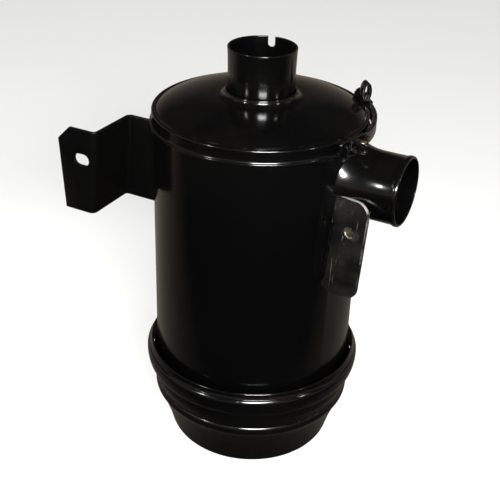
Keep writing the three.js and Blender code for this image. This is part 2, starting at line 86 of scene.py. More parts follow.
add_light("front_soft_box", azimuth=6, elevation=27, distance=1.3, width=0.50, height=0.17, power=33)
add_light("left_window", azimuth=-50, elevation=24, distance=1.5, width=0.10, height=0.16, power=4)
add_light("right_window", azimuth=56, elevation=30, distance=1.5, width=0.09, height=0.12, power=1.6)
add_light("left_fill", azimuth=-80, elevation=25, distance=1.6, width=0.7, height=0.7, power=0.3,
          colour=WARM_LIGHT)
add_light("right_fill", azimuth=95, elevation=30, distance=1.6, width=0.6, height=0.6, power=0.3,
          colour=WARM_LIGHT)

PALE_ROOM = (0.86, 0.86, 0.85, 1)
DIM_CEILING = (0.012, 0.012, 0.013, 1)
WARM_WALL = (0.27, 0.225, 0.185, 1)
WALL_TOP = 0.40
world = bpy.data.worlds.new("Workshop")
world.use_nodes = True
bpy.context.scene.world = world
nodes, links = world.node_tree.nodes, world.node_tree.links
way = nodes.new("ShaderNodeTexCoord")
height = nodes.new("ShaderNodeSeparateXYZ")
walls = nodes.new("ShaderNodeValToRGB")
ray = nodes.new("ShaderNodeLightPath")
room = nodes.new("ShaderNodeMix")
room.data_type = "RGBA"
walls.color_ramp.elements[0].color = WARM_WALL
walls.color_ramp.elements[1].position = WALL_TOP
walls.color_ramp.elements[1].color = DIM_CEILING
links.new(way.outputs["Generated"], height.inputs[0])
links.new(height.outputs["Z"], walls.inputs[0])
links.new(ray.outputs["Is Glossy Ray"], room.inputs["Factor"])
room.inputs["A"].default_value = PALE_ROOM
links.new(walls.outputs["Color"], room.inputs["B"])
links.new(room.outputs["Result"], nodes["Background"].inputs["Color"])

# ---- Floor ----
# A plain pale floor. The housing hangs by its brackets above it, with the room that the bowl needs to
# come off. In the paint's reflections the floor is a painted emission: painted shade in front of the
# housing and a painted dim warm glow behind it.
SHADE_ENDS, GLOW_STARTS = -0.15, 0.45
IN_SHADE = (0.006, 0.006, 0.006, 1)
WARM_GLOW = (0.24, 0.22, 0.175, 1)
bowl_travel = next(joint["range_m"][1] for joint in frame["record"]["behaviour"]["joints"]
                   if joint["name"] == "bowl_drop")
bpy.ops.mesh.primitive_plane_add(size=14, location=(0, 0, -bowl_travel - 0.4 * mm))
floor = bpy.context.object
floor.name = "floor"
pale = bpy.data.materials.new("Pale floor")
pale.use_nodes = True
nodes, links = pale.node_tree.nodes, pale.node_tree.links
surface = nodes["Principled BSDF"]
surface.inputs["Base Color"].default_value = (0.80, 0.80, 0.79, 1)
surface.inputs["Roughness"].default_value = 0.8
surface.inputs["Specular IOR Level"].default_value = 0.1
# Painted light: for glossy rays the floor is an emission, painted shade in front of the housing and a
# painted warm glow behind it.
painted_reflection_glow = nodes.new("ShaderNodeEmission")
place = nodes.new("ShaderNodeTexCoord")
depth = nodes.new("ShaderNodeSeparateXYZ")
backward = nodes.new("ShaderNodeMapRange")
painted_shade_to_glow = nodes.new("ShaderNodeValToRGB")
backward.inputs["From Min"].default_value = SHADE_ENDS
backward.inputs["From Max"].default_value = GLOW_STARTS
painted_shade_to_glow.color_ramp.elements[0].color = IN_SHADE
painted_shade_to_glow.color_ramp.elements[1].color = WARM_GLOW
links.new(place.outputs["Object"], depth.inputs[0])
links.new(depth.outputs["Y"], backward.inputs["Value"])
links.new(backward.outputs["Result"], painted_shade_to_glow.inputs[0])
links.new(painted_shade_to_glow.outputs["Color"], painted_reflection_glow.inputs["Color"])
ray = nodes.new("ShaderNodeLightPath")
seen = nodes.new("ShaderNodeMixShader")
links.new(ray.outputs["Is Glossy Ray"], seen.inputs["Fac"])
links.new(surface.outputs[0], seen.inputs[1])
links.new(painted_reflection_glow.outputs[0], seen.inputs[2])
links.new(seen.outputs[0], nodes["Material Output"].inputs["Surface"])
floor.data.materials.append(pale)
bpy.context.scene.view_settings.view_transform = "Standard"

# ---- Canister ----
# A straight can rolled from steel sheet, with its top edge turned in as the seat of the cover's seal.
# It has one hole in its side for the outlet, and is dipped in gloss black paint.
AROUND = 128
SHEET = 1.2
LIP_WIDTH, LIP_BEND = 6, 2
canister_low, canister_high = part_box("canister_shell")
CAN_RADIUS = canister_high.x / mm
CAN_LOW = canister_low.z / mm
CAN_TOP = canister_high.z / mm


def arc(centre, reach, start, stop, steps):
    """Points on part of an ellipse, from one angle to another in degrees."""
    angles = [radians(start + (stop - start) * step / steps) for step in range(steps + 1)]
    return [(centre[0] + reach[0] * cos(angle), centre[1] + reach[1] * sin(angle)) for angle in angles]


def draw(name, points):
    """Draws a line through points in millimetres, from one vertex, and stays in edit mode."""
    bpy.ops.object.select_all(action="DESELECT")
    bpy.ops.mesh.primitive_plane_add(size=mm, location=(0, 0, 0))
    piece = bpy.context.object
    piece.name = name
    piece.data.name = name
    bpy.ops.object.mode_set(mode="EDIT")
    bpy.ops.mesh.select_mode(type="VERT")
    bpy.ops.mesh.select_all(action="SELECT")
    bpy.ops.mesh.merge(type="CENTER")
    places = [Vector(point) * mm for point in points]
    bpy.ops.transform.translate(value=places[0])
    for here, there in zip(places, places[1:]):
        bpy.ops.mesh.extrude_vertices_move(TRANSFORM_OT_translate={"value": there - here})
    return piece


def weld_doubles():
    """Joins the vertices that meet and turns every face outwards, then leaves edit mode."""
    bpy.ops.mesh.select_all(action="SELECT")
    bpy.ops.mesh.remove_doubles(threshold=0.004 * mm)
    bpy.ops.mesh.normals_make_consistent(inside=False)
    bpy.ops.object.mode_set(mode="OBJECT")


def turned(name, outline, closed=True, around=AROUND):
    """Spins a [radius, height] outline round the upright axis into a solid."""
    points = [(radius, 0, height) for radius, height in outline]
    piece = draw(name, points + points[:1] if closed else points)
    bpy.ops.mesh.select_all(action="SELECT")
    bpy.ops.mesh.remove_doubles(threshold=0.004 * mm)
    bpy.ops.mesh.spin(steps=around, angle=2 * pi, center=(0, 0, 0), axis=(0, 0, 1))
    weld_doubles()
    return piece


def modify(piece, kind, **settings):
    """Adds one modifier with its settings and applies it."""
    bpy.ops.object.select_all(action="DESELECT")
    piece.select_set(True)
    bpy.context.view_layer.objects.active = piece
    modifier = piece.modifiers.new(kind.title(), kind)
    for setting, value in settings.items():
        setattr(modifier, setting, value)
    bpy.ops.object.modifier_apply(modifier=modifier.name)


def cut(piece, cutter, operation="DIFFERENCE"):
    """Cuts a piece with another, which is then thrown away."""
    modify(piece, "BOOLEAN", object=cutter, operation=operation, solver="EXACT")
    bpy.data.objects.remove(cutter)


def round_edges(piece, width, segments=2, sharper_than=32):
    """Rounds every edge that is sharper than an angle, and shades the rest smooth."""
    modify(piece, "BEVEL", width=width * mm, segments=segments, limit_method="ANGLE",
           angle_limit=radians(sharper_than), use_clamp_overlap=True)
    bpy.ops.object.shade_smooth_by_angle(angle=radians(40))


def rod(name, radius, low, high, place=Matrix(), around=64):
    """A plain round bar along its own Z, moved into place. It serves as a cutter."""
    bpy.ops.object.select_all(action="DESELECT")
    bpy.ops.mesh.primitive_cylinder_add(
        vertices=around, radius=radius * mm, depth=(high - low) * mm, location=(0, 0, (low + high) / 2 * mm))
    piece = bpy.context.object
    piece.name = name
    bpy.ops.object.transform_apply(location=True, rotation=True, scale=True)
    piece.data.transform(place)
    return piece


def shift(x, y, z):
    return Matrix.Translation(Vector((x, y, z)) * mm)


def turn(angle, axis="Z"):
    return Matrix.Rotation(radians(angle), 4, axis)


def fit(piece, body, slot, material, *nodes):
    """Gives a finished piece its paint and body and hides the plain solids it stands for. The slot is not
    used.
    """
    piece.data.materials.clear()
    piece.data.materials.append(material)
    if nodes:
        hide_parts(*nodes)
    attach(piece, body)


def make_group(name, sockets_in, sockets_out):
    """A new shader node group with named inputs and outputs."""
    group = bpy.data.node_groups.new(name, "ShaderNodeTree")
    for socket, default in sockets_in.items():
        made = group.interface.new_socket(name=socket, in_out="INPUT", socket_type="NodeSocketFloat")
        made.default_value = default
    for socket in sockets_out:
        group.interface.new_socket(name=socket, in_out="OUTPUT", socket_type="NodeSocketFloat")
    return group, group.nodes.new("NodeGroupInput"), group.nodes.new("NodeGroupOutput")


def noise(tree, scale, detail=3, roughness=0.5, stretch=(1, 1, 1)):
    """Noise on object coordinates, its grain stretched along each axis by a factor."""
    nodes, links = tree.nodes, tree.links
    place = nodes.new("ShaderNodeTexCoord")
    mapping = nodes.new("ShaderNodeMapping")
    texture = nodes.new("ShaderNodeTexNoise")
    mapping.inputs["Scale"].default_value = stretch
    texture.inputs["Scale"].default_value = scale
    texture.inputs["Detail"].default_value = detail
    texture.inputs["Roughness"].default_value = roughness
    links.new(place.outputs["Object"], mapping.inputs["Vector"])
    links.new(mapping.outputs["Vector"], texture.inputs["Vector"])
    return texture


def spread(tree, value, low, high, to_low=0.0, to_high=1.0):
    """Maps a value from one range to another, smoothly, and holds it there."""
    node = tree.nodes.new("ShaderNodeMapRange")
    node.interpolation_type = "SMOOTHSTEP"
    tree.links.new(value, node.inputs["Value"])
    for socket, number in zip(("From Min", "From Max", "To Min", "To Max"), (low, high, to_low, to_high)):
        if isinstance(number, bpy.types.NodeSocket):
            tree.links.new(number, node.inputs[socket])
        else:
            node.inputs[socket].default_value = number
    return node.outputs["Result"]


def sum_of(tree, operation, first, second):
    """One step of arithmetic on two values, each a socket or a number."""
    node = tree.nodes.new("ShaderNodeMath")
    node.operation = operation
    for socket, value in zip(node.inputs, (first, second)):
        if isinstance(value, bpy.types.NodeSocket):
            tree.links.new(value, socket)
        else:
            socket.default_value = value
    return node.outputs[0]


def blend_colours(tree, factor, first, second):
    """Mixes two colours, each a socket or a set of numbers, by a factor."""
    node = tree.nodes.new("ShaderNodeMix")
    node.data_type = "RGBA"
    tree.links.new(factor, node.inputs["Factor"])
    for name, colour in (("A", first), ("B", second)):
        if isinstance(colour, bpy.types.NodeSocket):
            tree.links.new(colour, node.inputs[name])
        else:
            node.inputs[name].default_value = (*colour, 1)
    return node.outputs["Result"]


# Edge wear: paint rubs thin where the surface turns within a radius in millimetres, in patches.
wear, wear_in, wear_out = make_group("Edge wear", {"Radius": 1.0, "Patches": 90.0}, ["Mask"])
shape = wear.nodes.new("ShaderNodeNewGeometry")
rounded = wear.nodes.new("ShaderNodeBevel")
rounded.samples = 6
wear.links.new(sum_of(wear, "MULTIPLY", wear_in.outputs["Radius"], mm), rounded.inputs["Radius"])
agreement = wear.nodes.new("ShaderNodeVectorMath")
agreement.operation = "DOT_PRODUCT"
wear.links.new(shape.outputs["Normal"], agreement.inputs[0])
wear.links.new(rounded.outputs["Normal"], agreement.inputs[1])
patches = noise(wear, 90, detail=4, roughness=0.65)
wear.links.new(wear_in.outputs["Patches"], patches.inputs["Scale"])
edges = spread(wear, sum_of(wear, "SUBTRACT", 1.0, agreement.outputs["Value"]), 0.012, 0.09)
broken = spread(wear, patches.outputs["Fac"], 0.46, 0.62)
wear.links.new(sum_of(wear, "MULTIPLY", edges, broken), wear_out.inputs["Mask"])

# Dust: it lies on what faces up, thicker in some places than in others.
dust, dust_in, dust_out = make_group("Dust", {"Amount": 0.3, "Grain": 25.0}, ["Mask"])
shape = dust.nodes.new("ShaderNodeNewGeometry")
facing = dust.nodes.new("ShaderNodeSeparateXYZ")
dust.links.new(shape.outputs["Normal"], facing.inputs[0])
clouds = noise(dust, 25, detail=6, roughness=0.6)
dust.links.new(dust_in.outputs["Grain"], clouds.inputs["Scale"])
upward = spread(dust, facing.outputs["Z"], 0.0, 0.95, 0.05, 1.0)
cloudy = spread(dust, clouds.outputs["Fac"], 0.35, 0.75)
settled = sum_of(dust, "MULTIPLY", upward, cloudy)
dust.links.new(sum_of(dust, "MULTIPLY", settled, dust_in.outputs["Amount"]), dust_out.inputs["Mask"])

# Paint skin: sprayed gloss paint dries with a fine peel, slow runs and a few nibs of trapped dust.
skin, skin_in, skin_out = make_group("Paint skin", {"Peel": 420.0, "Runs": 16.0}, ["Height"])
peel = noise(skin, 420, detail=1, roughness=0.4)
runs = noise(skin, 16, detail=2, roughness=0.4, stretch=(1, 1, 0.5))
nibs = noise(skin, 950, detail=0)
skin.links.new(skin_in.outputs["Peel"], peel.inputs["Scale"])
skin.links.new(skin_in.outputs["Runs"], runs.inputs["Scale"])
slow = sum_of(skin, "MULTIPLY", runs.outputs["Fac"], 6)
trapped = spread(skin, nibs.outputs["Fac"], 0.78, 0.86, 0.0, 1.2)
skin.links.new(sum_of(skin, "ADD", sum_of(skin, "ADD", peel.outputs["Fac"], slow), trapped),
               skin_out.inputs["Height"])


def use_group(tree, group, **values):
    """Places a group in a material with its own values."""
    node = tree.nodes.new("ShaderNodeGroup")
    node.node_tree = group
    for socket, value in values.items():
        node.inputs[socket].default_value = value
    return node.outputs[0]


def new_material(name):
    material = bpy.data.materials.new(name)
    material.use_nodes = True
    return material, material.node_tree, material.node_tree.nodes["Principled BSDF"]


def bump(tree, shader, height, depth, strength=1.0):
    """Lets a height in the pattern raise the surface by a depth in millimetres."""
    node = tree.nodes.new("ShaderNodeBump")
    node.inputs["Strength"].default_value = strength
    node.inputs["Distance"].default_value = depth * mm
    tree.links.new(height, node.inputs["Height"])
    tree.links.new(node.outputs["Normal"], shader.inputs["Normal"])


def gloss_black(name, dusty, roughness, peel_depth):
    """Gloss black enamel on steel: nearly black, faintly mottled, dusty on top and thin on its edges."""
    material, tree, shader = new_material(name)
    mottle = noise(tree, 7, detail=4)
    fleck = use_group(tree, dust, Amount=dusty, Grain=21)
    worn = use_group(tree, wear, Radius=0.7, Patches=120)
    tone = blend_colours(tree, spread(tree, mottle.outputs["Fac"], 0.35, 0.65),
                         (0.0007, 0.0007, 0.0008), (0.0013, 0.0012, 0.0011))
    dusted = blend_colours(tree, fleck, tone, (0.10, 0.088, 0.070))
    bare = blend_colours(tree, sum_of(tree, "MULTIPLY", worn, 0.5), dusted, (0.11, 0.10, 0.09))
    tree.links.new(bare, shader.inputs["Base Color"])
    smudge = noise(tree, 34, detail=5, roughness=0.6)
    soft = spread(tree, smudge.outputs["Fac"], 0.3, 0.75, roughness, roughness + 0.07)
    rough = sum_of(tree, "ADD", soft, sum_of(tree, "MULTIPLY", fleck, 0.5))
    rougher = sum_of(tree, "ADD", rough, sum_of(tree, "MULTIPLY", worn, 0.12))
    tree.links.new(rougher, shader.inputs["Roughness"])
    shader.inputs["Specular IOR Level"].default_value = 0.5
    shader.inputs["Coat Weight"].default_value = 0.25
    shader.inputs["Coat Roughness"].default_value = 0.06
    bump(tree, shader, use_group(tree, skin, Peel=380, Runs=14), peel_depth)
    return material


can_paint = gloss_black("Canister paint", dusty=0.015, roughness=0.13, peel_depth=0.010)

OUTLET_AZIMUTH = -26.7
OUTLET_HEIGHT = 246.5
PIPE_RADIUS = 25.4
outlet_place = turn(OUTLET_AZIMUTH) @ shift(0, 0, OUTLET_HEIGHT) @ turn(90, "Y")
inner = CAN_RADIUS - SHEET
lip_centre = (CAN_RADIUS - LIP_BEND, CAN_TOP - LIP_BEND)
canister = turned("canister", [
    (inner, CAN_LOW), (CAN_RADIUS, CAN_LOW), *arc(lip_centre, (LIP_BEND, LIP_BEND), 0, 90, 6),
    (CAN_RADIUS - LIP_WIDTH, CAN_TOP), (CAN_RADIUS - LIP_WIDTH, CAN_TOP - SHEET),
    *arc(lip_centre, (LIP_BEND - SHEET, LIP_BEND - SHEET), 90, 0, 4)])
cut(canister, rod("outlet_hole", PIPE_RADIUS + 0.15, 40, 100, outlet_place))
round_edges(canister, 0.3)
fit(canister, "canister", "gloss_black_paint", can_paint, "canister_shell")

# ---- Outlet ----
# A short pipe whose root is flared and saddled to the can's side and brazed there all round. Its free
# end is rolled to a small bead that keeps the hose clamp on.
OUTLET_END = 118.8
OUTLET_ROOT = 70
COLLAR_RADIUS, COLLAR_EDGE = 34, 35.2
COLLAR_UNDER, COLLAR_FOOT, COLLAR_TOP = 74, 77, 97
bore = PIPE_RADIUS - SHEET
collar_reach = (COLLAR_RADIUS - PIPE_RADIUS, COLLAR_TOP - COLLAR_FOOT)
flare = arc((COLLAR_RADIUS, COLLAR_TOP), collar_reach, 270, 180, 16)
rim = [(PIPE_RADIUS, OUTLET_END - 5.2), (PIPE_RADIUS + 0.25, OUTLET_END - 4.5),
       *arc((PIPE_RADIUS + 0.1, OUTLET_END - 2.2), (0.7, 1.9), -60, 60, 6),
       *arc((PIPE_RADIUS - 0.6, OUTLET_END - 0.6), (0.7, 0.6), 20, 160, 6)]
outlet = turned("outlet", [
    (bore, OUTLET_ROOT), (PIPE_RADIUS, OUTLET_ROOT), (PIPE_RADIUS, COLLAR_UNDER),
    (COLLAR_RADIUS, COLLAR_UNDER), (COLLAR_EDGE, COLLAR_UNDER + 1), (COLLAR_EDGE, COLLAR_FOOT - 0.8),
    *flare, *rim, (bore, OUTLET_END - 5)], around=96)
# The collar's foot follows the can's curve, and the pipe's end stays flat.
for vertex in outlet.data.vertices:
    across = vertex.co.y
    sag = CAN_RADIUS * mm - sqrt((CAN_RADIUS * mm) ** 2 - across ** 2)
    fade = min(1, max(0, (COLLAR_TOP * mm - vertex.co.z) / (collar_reach[1] * mm)))
    vertex.co.z -= sag * fade * fade * (3 - 2 * fade)
outlet.data.transform(outlet_place)
cut(outlet, rod("can_inside", inner + 0.2, 150, 300, around=AROUND))
round_edges(outlet, 0.25)
fit(outlet, "canister", "gloss_black_paint", can_paint, "outlet_pipe")

# ---- Left bracket ----
# One strip of 2.5 mm steel folded to a Z. Its folds aren't quite square to the strip, and its free
# end is cut on the slant with one corner off, round a slot for the bolt. It is welded on edge.
STRIP = 2.5
STRIP_LOW, STRIP_HIGH = 211, 277
STRIP_ARM, STRIP_STEP, STRIP_FLANGE = 23.5, 42.3, 29
FOLD_LEAN, END_LEAN = 0.084, -0.056
STRIP_AZIMUTH, STRIP_HEADING = 186.6, 180 - 27.5
FOLD_RADIUS = 3.2
CORNER_ACROSS, CORNER_DOWN = 11, 15
SLOT_HEIGHT, SLOT_RADIUS, SLOT_START, SLOT_END = 253.5, 4.5, 8, 12
strip_middle = (STRIP_LOW + STRIP_HIGH) / 2
strip_place = turn(STRIP_AZIMUTH) @ shift(CAN_RADIUS, 0, 0) @ turn(STRIP_HEADING - STRIP_AZIMUTH)
columns = [(-3.2, 0, 0), (STRIP_ARM, 0, FOLD_LEAN), (STRIP_ARM, STRIP_STEP, FOLD_LEAN),
           (STRIP_ARM + STRIP_FLANGE, STRIP_STEP, END_LEAN)]


def column(run, step, lean, level):
    """A point of the strip's centre line at a level, leaned by its fold."""
    return (run - lean * (level - strip_middle), step, level)


left_bracket = draw("left_bracket_strip", [column(*place, STRIP_LOW) for place in columns])
bpy.ops.mesh.select_all(action="SELECT")
bpy.ops.mesh.extrude_region_move(TRANSFORM_OT_translate={"value": (0, 0, (STRIP_HIGH - STRIP_LOW) * mm)})
bpy.ops.object.mode_set(mode="OBJECT")
for vertex in left_bracket.data.vertices:
    if vertex.co.z > strip_middle * mm:
        run, step, lean = min(columns, key=lambda place: hypot(
            column(*place, STRIP_LOW)[0] * mm - vertex.co.x, place[1] * mm - vertex.co.y))
        vertex.co = Vector(column(run, step, lean, STRIP_HIGH)) * mm
for part in (left_bracket.data.vertices, left_bracket.data.edges, left_bracket.data.polygons):
    for item in part:
        item.select = False
for edge in left_bracket.data.edges:
    ends = [left_bracket.data.vertices[index] for index in edge.vertices]
    upright = abs(ends[0].co.z - ends[1].co.z) > 30 * mm
    if upright and STRIP_ARM - 4 < ends[0].co.x / mm < STRIP_ARM + 4:
        edge.select = ends[0].select = ends[1].select = True
bpy.ops.object.mode_set(mode="EDIT")
bpy.ops.mesh.select_mode(type="EDGE")
bpy.ops.mesh.bevel(offset=FOLD_RADIUS * mm, segments=6, affect="EDGES")
corner = STRIP_ARM + STRIP_FLANGE - END_LEAN * (STRIP_HIGH - strip_middle)
bpy.ops.mesh.select_all(action="SELECT")
bpy.ops.mesh.bisect(plane_co=Vector((corner - CORNER_ACROSS, 0, STRIP_HIGH)) * mm,
                    plane_no=(CORNER_DOWN, 0, CORNER_ACROSS), clear_outer=True)
bpy.ops.object.mode_set(mode="OBJECT")
modify(left_bracket, "SOLIDIFY", thickness=STRIP * mm, offset=0, use_even_offset=True)


def block(place, *size):
    """A box of a size in millimetres, moved into place. It serves as a cutter."""
    bpy.ops.object.select_all(action="DESELECT")
    bpy.ops.mesh.primitive_cube_add(size=mm)
    piece = bpy.context.object
    piece.data.transform(place @ Matrix.Diagonal((*size, 1)))
    return piece


for number, run in enumerate((SLOT_START, SLOT_END)):
    place = shift(STRIP_ARM + run, 0, SLOT_HEIGHT) @ turn(90, "X")
    slot_end = rod(f"slot_end_{number}", SLOT_RADIUS, -STRIP_STEP - 6, -STRIP_STEP + 6, place, around=40)
    cut(left_bracket, slot_end)
slot_middle = shift(STRIP_ARM + (SLOT_START + SLOT_END) / 2, STRIP_STEP, SLOT_HEIGHT)
cut(left_bracket, block(slot_middle, SLOT_END - SLOT_START, 12, 2 * SLOT_RADIUS))
left_bracket.data.transform(strip_place)
cut(left_bracket, rod("can_room", CAN_RADIUS - 0.7, 150, 300, around=AROUND))
round_edges(left_bracket, 0.45, segments=3)
strip_paint = gloss_black("Bracket paint", dusty=0.012, roughness=0.17, peel_depth=0.012)
fit(left_bracket, "canister", "gloss_black_paint", strip_paint, "left_bracket")


def new_wire(name, thickness, resolution):
    """An empty round wire of a thickness in millimetres."""
    line = bpy.data.curves.new(name, "CURVE")
    line.dimensions = "3D"
    line.bevel_depth = thickness / 2 * mm
    line.bevel_resolution = resolution
    return line


def as_mesh(line):
    """Makes a wire a mesh piece."""
    piece = bpy.data.objects.new(line.name, line)
    bpy.context.collection.objects.link(piece)
    bpy.ops.object.select_all(action="DESELECT")
    piece.select_set(True)
    bpy.context.view_layer.objects.active = piece
    bpy.ops.object.convert(target="MESH")
    return bpy.context.object


def weld_bead(name, start, end, width):
    """A weld laid along a seam in short overlapping steps, as a wire with a rippled width."""
    line = new_wire(name, width, 3)
    line.use_fill_caps = True
    steps = int((end - start).length / 0.5)
    spline = line.splines.new("POLY")
    spline.points.add(steps)
    for number, point in enumerate(spline.points):
        share = number / steps
        ripple = 1 + 0.14 * abs(sin(number * 1.1)) + 0.08 * sin(number * 0.37)
        taper = min(1, 0.45 + 6 * min(share, 1 - share))
        point.co = (*((start + (end - start) * share) * mm), 1)
        point.radius = ripple * taper
    piece = as_mesh(line)
    bpy.ops.object.shade_smooth_by_angle(angle=radians(60))
    return piece


for side, across in (("front", 1), ("back", -1)):
    foot = strip_place @ (Vector((0.4, across * (STRIP / 2 + 0.3), 0)) * mm) / mm
    outward = Vector((foot.x, foot.y, 0)).normalized() * (CAN_RADIUS + 0.35)
    bead = weld_bead(f"left_bracket_{side}_weld", Vector((outward.x, outward.y, STRIP_LOW + 3)),
                     Vector((outward.x, outward.y, STRIP_HIGH - 5)), 2.6)
    fit(bead, "canister", "gloss_black_paint", strip_paint)

# ---- Right bracket ----
# A flat ear of 3 mm steel, welded on edge to the can and a little skewed. Its paint is thin and
# scuffed, and its top edge and outer corner are rubbed bare.
EAR = {"thick": 3, "width": 28.4, "height": 75.2}
EAR_AZIMUTH, EAR_LEVEL, EAR_HEADING, EAR_TWIST = -47.9, 207.2, -37.9, 6.9
EAR_LOW_CORNER, EAR_HIGH_CORNER, EAR_ROOT = 9, 11, 6
EAR_HOLE = {"out": 14, "up": 12, "radius": 4.6}
ear_place = (turn(EAR_AZIMUTH) @ shift(CAN_RADIUS, 0, EAR_LEVEL) @ turn(EAR_HEADING - EAR_AZIMUTH)
             @ turn(90 - EAR_TWIST, "X"))
top = EAR["height"] / 2
low_corner = (EAR["width"] - EAR_LOW_CORNER, -top + EAR_LOW_CORNER)
high_corner = (EAR["width"] - EAR_HIGH_CORNER, top - EAR_HIGH_CORNER)
ear_outline = [(-EAR_ROOT, -top + 5), (4, -top),
               *arc(low_corner, (EAR_LOW_CORNER, EAR_LOW_CORNER), -90, 0, 8),
               *arc(high_corner, (EAR_HIGH_CORNER, EAR_HIGH_CORNER), 0, 90, 9), (-EAR_ROOT, top)]


def plate(name, outline, low, thick):
    """A flat outline pushed up from a height by a thickness."""
    piece = draw(name, [(x, y, low) for x, y in outline + outline[:1]])
    bpy.ops.mesh.select_all(action="SELECT")
    bpy.ops.mesh.remove_doubles(threshold=0.004 * mm)
    bpy.ops.mesh.edge_face_add()
    bpy.ops.mesh.extrude_region_move(TRANSFORM_OT_translate={"value": (0, 0, thick * mm)})
    weld_doubles()
    return piece


right_bracket = plate("right_bracket_ear", ear_outline, -EAR["thick"] / 2, EAR["thick"])
cut(right_bracket, rod("ear_hole", EAR_HOLE["radius"], -5, 5, shift(EAR_HOLE["out"], EAR_HOLE["up"], 0), 48))
right_bracket.data.transform(ear_place)
cut(right_bracket, rod("can_room", CAN_RADIUS - 0.7, 100, 300, around=AROUND))
# The outlet's collar is trimmed away in front of the ear.
cut(outlet, block(ear_place @ shift(10, top - 29.6, 18.4), 40, 60, 40))
round_edges(right_bracket, 0.5, segments=3)

ear_paint, tree, shader = new_material("Worn bracket paint")
place = tree.nodes.new("ShaderNodeTexCoord")
level = tree.nodes.new("ShaderNodeSeparateXYZ")
tree.links.new(place.outputs["Object"], level.inputs[0])
faced = tree.nodes.new("ShaderNodeVectorMath")
faced.operation = "DOT_PRODUCT"
faced.inputs[1].default_value = ear_place.to_3x3() @ Vector((0, 0, 1))
tree.links.new(place.outputs["Normal"], faced.inputs[0])
narrow = spread(tree, sum_of(tree, "ABSOLUTE", faced.outputs["Value"], 0), 0.93, 0.6)
upper = spread(tree, level.outputs["Z"], 0.225, 0.238)
scuffs = noise(tree, 60, detail=8, roughness=0.7)
smears = noise(tree, 22, detail=5, roughness=0.6, stretch=(1, 1, 2.2))
lines = noise(tree, 500, detail=2, roughness=0.6, stretch=(1, 1, 0.06))
rubbed = use_group(tree, wear, Radius=1.4, Patches=70)
tone = blend_colours(tree, spread(tree, smears.outputs["Fac"], 0.38, 0.70),
                     (0.0016, 0.0015, 0.0014), (0.0055, 0.0052, 0.0046))
scuffed = blend_colours(tree, spread(tree, scuffs.outputs["Fac"], 0.54, 0.70, 0, 0.45), tone,
                        (0.040, 0.038, 0.034))
scratched = blend_colours(tree, spread(tree, lines.outputs["Fac"], 0.66, 0.72, 0, 0.35), scuffed,
                          (0.09, 0.086, 0.078))
flaked = spread(tree, scuffs.outputs["Fac"], 0.40, 0.50)
edge = sum_of(tree, "MULTIPLY", sum_of(tree, "MULTIPLY", narrow, upper), flaked)
steel = sum_of(tree, "MAXIMUM", sum_of(tree, "MULTIPLY", rubbed, 0.5), edge)
bare = blend_colours(tree, steel, scratched, (0.50, 0.48, 0.43))
tree.links.new(bare, shader.inputs["Base Color"])
tree.links.new(sum_of(tree, "MULTIPLY", steel, 0.6), shader.inputs["Metallic"])
shader.inputs["Specular IOR Level"].default_value = 0.2
tree.links.new(spread(tree, smears.outputs["Fac"], 0.3, 0.7, 0.36, 0.58), shader.inputs["Roughness"])
bump(tree, shader, scuffs.outputs["Fac"], 0.06)
fit(right_bracket, "canister", "worn_black_paint", ear_paint, "right_bracket")

for side, across in (("front", 1), ("back", -1)):
    ends = []
    for up in (-top + 8, top - 16):
        foot = ear_place @ (Vector((1, up, across * (EAR["thick"] / 2 + 0.4))) * mm) / mm
        ends.append(Vector((foot.x, foot.y, 0)).normalized() * (CAN_RADIUS + 0.4) + Vector((0, 0, foot.z)))
    bead = weld_bead(f"right_bracket_{side}_weld", *ends, 2.8)
    fit(bead, "canister", "gloss_black_paint", strip_paint)

# ---- Weld nut ----
# A hexagon nut welded behind the ear's hole. It is plated, with its corners chamfered and a cut thread.
NUT_RADIUS, NUT_HEIGHT = 7.5, 6.5
THREAD, THREAD_DEPTH, HALF_PITCH = 4.2, 0.45, 0.6
nut_face = -EAR["thick"] / 2 - 0.1
nut = rod("weld_nut", NUT_RADIUS, nut_face - NUT_HEIGHT, nut_face, around=6)
nut_back = nut_face - NUT_HEIGHT
chamfered = turned("nut_chamfer", [
    (0, nut_back), (NUT_RADIUS - 0.9, nut_back), (NUT_RADIUS + 0.1, nut_back + 0.7),
    (NUT_RADIUS + 0.1, nut_face), (0, nut_face)], closed=False, around=48)
cut(nut, chamfered, "INTERSECT")
turns = [(THREAD - THREAD_DEPTH * (number % 2), nut_back + HALF_PITCH * (number - 1))
         for number in range(14)]
cut(nut, turned("nut_thread", [(0, turns[0][1]), *turns, (0, turns[-1][1])], closed=False, around=40))
nut.data.transform(ear_place @ shift(EAR_HOLE["out"], EAR_HOLE["up"], 0))
round_edges(nut, 0.12, segments=1, sharper_than=50)


def plated(name, base, tint, roughness):
    """Zinc plate with a thin yellow passivation, whose tint drifts over the piece."""
    material, tree, shader = new_material(name)
    drift = noise(tree, 75, detail=3, roughness=0.6)
    grime = noise(tree, 140, detail=5, roughness=0.65)
    colour = blend_colours(tree, spread(tree, drift.outputs["Fac"], 0.38, 0.62), base, tint)
    dirty = blend_colours(tree, spread(tree, grime.outputs["Fac"], 0.52, 0.70, 0, 0.7), colour,
                          (0.06, 0.05, 0.035))
    tree.links.new(dirty, shader.inputs["Base Color"])
    dulled = spread(tree, grime.outputs["Fac"], 0.3, 0.7, roughness, roughness + 0.2)
    tree.links.new(dulled, shader.inputs["Roughness"])
    shader.inputs["Metallic"].default_value = 1
    bump(tree, shader, grime.outputs["Fac"], 0.02)
    return material


zinc = plated("Yellow zinc plate", (0.60, 0.55, 0.45), (0.62, 0.50, 0.34), 0.24)
fit(nut, "canister", "zinc_plate", zinc, "right_weld_nut")

